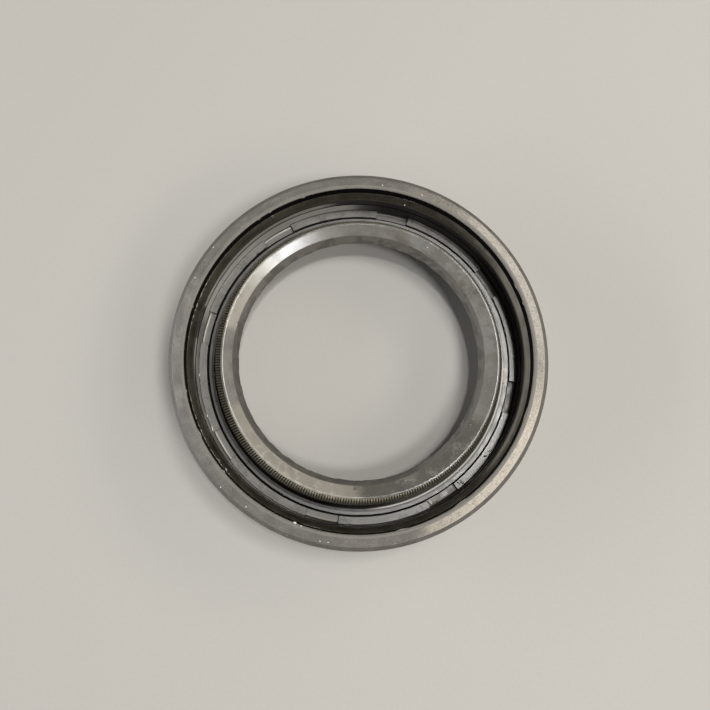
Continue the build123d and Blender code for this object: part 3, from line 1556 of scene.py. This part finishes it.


# Marks on the trimmed head. The pale patch round 149° is a painted highlight that carries the head's glint
# on, and the pale patches round 236° and 240° are beige marks brightened into painted sheen.
HEAD_STAINS_AND_SHEEN = listed(
    StainAndPaintedLight, ("7E7E7C", 34.0, 44.0, 3.6, 0.46, 0.6), ("544C46", 40.0, 46.0, 2.2, 0.5, 0.5),
    ("3A3632", 298.0, 38.0, 2.6, 0.36, 0.55), ("C9C4B8", 149.0, 20.0, 2.4, 0.3, 0.4),
    ("AFA99D", 236.0, 38.0, 2.4, 0.3, 0.38), ("C2BCAF", 240.0, 22.0, 1.4, 0.5, 0.35),
)
# The trimmed face gets darker towards the lower left round 232°, with dark blotches round 222°; the pale
# patch round 38° is painted light, where the face is lit.
FACE_MARKS_AND_PAINTED_LIGHT = listed(
    StainAndPaintedLight, ("2E2B27", 232.0, 76.0, 5.0, 0.1, 0.5), ("1E1C1A", 222.0, 66.0, 1.5, 0.52, 0.45),
    ("7A746A", 38.0, 40.0, 2.6, 0.5, 0.35),
)
# Painted sheen: pale speckled patches brighten the rim's shoulder where the lamps glint on it, round 318°
# and 22°.
SHOULDER_PAINTED_SHEEN = listed(
    StainAndPaintedLight, ("C4BAAA", 322.0, 36.0, 5.0, 0.1, 0.12), ("D6CCBC", 314.0, 26.0, 0.9, 0.38, 0.22),
    ("D6CCBC", 318.0, 30.0, 0.3, 0.44, 0.26), ("C4BAAA", 22.0, 56.0, 0.4, 0.4, 0.22),
)
# Painted light and shade on the lining: pale patches brighten its lit side round 142°, and a dark patch
# darkens it over the window round 167°.
LINING_PAINTED_LIGHT = listed(
    StainAndPaintedLight, ("C6C3BC", 142.0, 46.0, 6.0, 0.1, 0.85), ("242220", 166.6, 6.5, 6.0, 0.1, 0.9),
)
# Painted light: pale patches brighten the lining's lower strip on its lit side, round 172° and 128°.
STRIP_PAINTED_LIGHT = listed(
    StainAndPaintedLight, ("AAA7A0", 172.0, 92.0, 6.0, 0.1, 0.78), ("E6E3DC", 128.0, 40.0, 6.0, 0.1, 0.85),
)
# The dark patch round 220° is painted shadow, where the head's shadow falls on the web ring; the web is
# also darker round 290°, and has a pale fleck at 354°.
WEB_SHADE_AND_MARKS = listed(
    StainAndPaintedLight, ("1A1918", 220.0, 46.0, 5.0, 0.1, 0.8), ("2A2826", 290.0, 78.0, 5.0, 0.1, 0.65),
    ("B5AC9C", 354.0, 4.0, 1.2, 0.4, 0.6),
)
# Painted highlight: the web ring's inner edge is made pale round 318°, where it glints.
EDGE_PAINTED_HIGHLIGHT = listed(StainAndPaintedLight, ("D8D4CA", 318.0, 46.0, 5.0, 0.1, 0.8))
# Painted shadow and light in the gap by the spring: near black round 205°, where the head's shadow falls,
# and paler round 328°, where light reaches it.
GAP_PAINTED_LIGHT_AND_SHADE = listed(
    StainAndPaintedLight, ("0E0D0C", 205.0, 62.0, 5.0, 0.1, 0.85), ("8A867E", 328.0, 50.0, 5.0, 0.1, 0.6),
)

# Painted shade: near-black rubber for the rim's inner wall and the slot, which lie in shade.
SHADOW = NitrileFinish("0C0B0A", "131210", roughness=0.85, specular=0.05)
# Painted shade: the lining's ground is made dark, so that it reads as shaded wherever no pale patches lie.
LINED = NitrileFinish("2C2A28", "3A3836", specular=0.3, tool_lines=0.7, stains_and_painted_light=LINING_PAINTED_LIGHT)
WEBBED = NitrileFinish("53514E", "666460", roughness=0.33, roughness_spread=0.06, specular=0.85,
                       stains_and_painted_light=WEB_SHADE_AND_MARKS)
RUBBER_FINISHES = {
    Skin.BACK: NitrileFinish("585550", "6E6B66"),
    Skin.JACKET: NitrileFinish("56534D", "6B6860", tool_lines=0.6),
    Skin.CHAMFER: NitrileFinish("575450", "68645F", grain_share=0.32, specular=0.3, tool_lines=0.8),
    Skin.SHOULDER: NitrileFinish("696662", "7F7C77", grain_share=0.32, roughness=0.23,
                                 roughness_spread=0.055, specular=1.0, tool_lines=0.8,
                                 stains_and_painted_light=SHOULDER_PAINTED_SHEEN),
    Skin.RIM_BEVEL: NitrileFinish("686560", "7F7C76", grain_share=0.32, roughness=0.48, specular=0.35),
    Skin.RIM_WALL: SHADOW,
    Skin.LINING: LINED,
    Skin.STRIP: replace(LINED, stains_and_painted_light=STRIP_PAINTED_LIGHT),
    Skin.LEDGE: NitrileFinish("696763", "807D79", roughness=0.29, roughness_spread=0.04, specular=1.0,
                              tool_lines=0.4),
    Skin.SLOT: replace(SHADOW, base="0B0A09"),
    Skin.WEB: WEBBED,
    Skin.WEB_EDGE: replace(WEBBED, stains_and_painted_light=WEB_SHADE_AND_MARKS + EDGE_PAINTED_HIGHLIGHT),
    Skin.GAP: NitrileFinish("3F3D3A", "4C4A46", roughness=0.45, stains_and_painted_light=GAP_PAINTED_LIGHT_AND_SHADE),
    Skin.GROOVE: NitrileFinish("34312E", "423F3B"),
    Skin.HEAD: NitrileFinish("676560", "7E7B76", roughness=0.2, specular=0.65, roughness_spread=0.05,
                             tool_lines=0.5, stains_and_painted_light=HEAD_STAINS_AND_SHEEN),
    Skin.FACE: NitrileFinish("605D58", "726F69", roughness=0.45, smudge=0.55, stains_and_painted_light=FACE_MARKS_AND_PAINTED_LIGHT),
    # Painted shade: the bore is made near black, as it lies in shade.
    Skin.BORE: NitrileFinish("1F1D1B", "2A2825", specular=0.2),
}
# The flange's rings and the bevel's foot carry painted highlight and shade, as SteelFinish tells.
CASE_FINISH = SteelFinish("918E84", "747168", roughness=0.36, line_strength=0.08,
                          bleed_and_painted_light=("161514", "6C6A66", "8C887F", "2A2824"))
WIRE_FINISH = SteelFinish("8F897C", "716A5A", metallic=0.78, line_strength=0.1)
FILM = ScrapFinish("torn_nitrile_film", "A39F98", "817D76", roughness=0.95)
TALC = ScrapFinish("talc_crumb", "E6E2D8", "CFC9BC")
LINT = ScrapFinish("grey_dust", "A09C94", "85817A")
SLIVER_AND_SHADE_BLACK = ScrapFinish("nitrile_sliver_and_shade_line", "1C1B19", "131210")

RIM_NIBS = listed(
    Nib, (18.0, 0.14, 0.5), (24.0, 0.2, 0.9), (109.2, 0.22, 0.5), (121.5, 0.2, 0.35),
    (126.0, 0.16, 0.5), (163.5, 0.24, 0.35), (191.9, 0.26, 0.3), (206.5, 0.3, 1.0),
    (221.0, 0.25, 0.4), (249.2, 0.3, 0.5), (283.6, 0.22, 1.2), (304.6, 0.24, 1.4), (340.0, 0.12, 2.0),
)
BEVEL_NIBS = listed(
    Nib, (17.0, 0.2, 1.8), (73.0, 0.2, 3.2), (121.3, 0.3, 0.4), (160.0, 0.34, 12.0),
    (206.0, 0.34, 11.0), (256.0, 0.3, 3.0),
)
# Talc and torn white scraps: the chips by the rim's edge, flecks on the rim and one triangle of film.
CHIPS = listed(
    Crumb, (249.2, 32.95, 11.84, 0.42, 1.5, 70), (251.5, 33.1, 11.88, 0.3, 1.4, 80),
    (253.0, 33.55, 11.92, 0.16, 4.5, 88), (256.0, 33.6, 11.92, 0.16, 5.0, 92),
    (258.1, 34.76, 11.52, 0.16, 2.5, 60), (260.6, 34.7, 11.55, 0.14, 3.0, 90),
    (73.4, 32.05, 8.75, 0.24), (68.7, 33.92, 11.87, 0.2, 2.0, 90), (82.2, 33.86, 11.9, 0.2, 1.6, 40),
    (143.1, 35.1, 11.39, 0.2, 1.6, 90), (154.4, 34.78, 11.52, 0.18, 2.0, 60),
    (223.8, 35.2, 11.34, 0.2, 1.5, 30), (224.5, 33.6, 11.92, 0.2, 1.6, 80),
    (233.5, 34.7, 11.55, 0.2, 1.4, 20), (242.1, 33.62, 11.92, 0.24, 2.0, 90),
    (286.3, 30.5, 2.66, 0.2, 2.4, 90), (297.0, 31.0, 2.84, 0.44, 2.0, 30),
    (324.0, 31.55, 2.8, 0.22, 3.6, 50), (58.2, 25.5, 9.93, 0.2, 1.2, 0),
    (184.8, 31.86, 2.68, 0.18, 3.5, 90), (199.8, 31.82, 2.68, 0.2, 3.0, 90),
    (204.8, 31.8, 2.68, 0.24, 4.0, 90),
)
# Hairs of flash, the scratch's pale burr and the torn film on the ledge.
SCRAPS = listed(
    Crumb, (121.5, 34.7, 11.53, 0.1, 8.0, 8), (121.3, 32.75, 9.9, 0.12, 7.0, 5),
    (216.6, 32.62, 9.85, 0.12, 7.0, -42), (217.3, 32.75, 9.9, 0.1, 4.0, 60),
    (220.6, 32.6, 9.85, 0.34, 1.8, 80), (222.2, 32.7, 9.9, 0.12, 4.0, -30),
    (298.2, 31.4, 2.8, 0.22, 2.4, 60), (325.4, 31.3, 2.8, 0.16, 4.0, 80),
    (326.0, 31.7, 2.8, 0.16, 3.5, 20), (310.6, 31.3, 2.8, 0.46, 2.4, 14),
)
# Dark flecks at the ends of the lining's upper strip are painted shade, for the dark lines at the windows'
# ends; the others are dark slivers where the slot is torn.
SLIVERS_AND_SHADE_LINES = listed(
    Crumb, (116.2, 32.0, 7.9, 0.2, 3.4, 0), (127.6, 32.0, 7.9, 0.2, 3.4, 0),
    (161.0, 32.02, 7.9, 0.16, 3.4, 0), (172.4, 32.02, 7.9, 0.16, 3.4, 0),
    (132.6, 30.42, 2.68, 0.3, 2.6, 88), (129.2, 30.4, 2.68, 0.2, 2.2, 80),
    (323.2, 31.2, 2.76, 0.26, 2.6, 40), (309.4, 31.0, 2.74, 0.2, 4.4, 10),
    (299.2, 31.5, 2.76, 0.16, 3.4, 40), (188.6, 30.3, 2.68, 0.16, 3.0, 90),
)
SPECK_SIZES = (0.06, 0.17)
SPECK_STRETCHES = (1.0, 2.4)
DUST_BANDS = ((33.8, 35.1), (33.8, 35.1), (35.3, 35.9), (30.6, 31.8), (24.5, 26.0), (28.9, 29.9))
LAMPS = listed(
    Lamp, ("high_spot", 33.0, 81.2, 5.0, 0.24, "FFFDF8"),
    ("key_lamp", 32.0, 67.0, 16.0, 0.31, "FFFDF8"),
    ("second_lamp", 318.0, 62.5, 14.0, 0.3, "FFFFFF"),
    ("left_strip", 330.0, 31.0, 56.0, 0.17, "FFF6E6", 13.0),
    ("right_strip", 32.0, 27.0, 44.0, 0.12, "FFF6E6", 13.0),
    ("fill_strip", 182.0, 15.0, 60.0, 0.2, "FFFFFF", 14.0),
)


def main() -> None:
    """Builds the studio and the seal's pieces in order."""
    logging.basicConfig(level=logging.INFO, format="%(name)s: %(message)s")
    sizes = SealSizes.read()
    Studio(LAMPS).build()
    moulding = RubberMoulding(sizes, finishes=RUBBER_FINISHES)
    put_on(moulding.build(), "nitrile_rubber", "rubber_body")
    put_on(SteelCase(sizes, CASE_FINISH).build(), "case_steel", "metal_case")
    put_on(GarterSpring(sizes, WIRE_FINISH).build(), "spring_steel", "garter_spring")
    lip_radius, lip_height = moulding.rim_lip
    pieces = (
        FlashLine("rim_flash", lip_radius, lip_height - 0.03, RIM_NIBS, FILM),
        FlashLine("bevel_flash", sizes.bevel_radius, sizes.case_end - 0.01, BEVEL_NIBS, FILM, tear=0.47,
                  lump=0.5, seed=8.0),
        Scraps("white_crumbs", CHIPS, TALC),
        Scraps("film_scraps", SCRAPS, FILM),
        Scraps("dark_slivers_and_shade_lines", SLIVERS_AND_SHADE_LINES, SLIVER_AND_SHADE_BLACK),
        Scraps("dust_specks", dust(moulding, 150, DUST_BANDS, seed=21), LINT),
    )
    for piece in pieces:
        put_on(piece.build(), "nitrile_rubber")


if __name__ == "__main__":
    main()
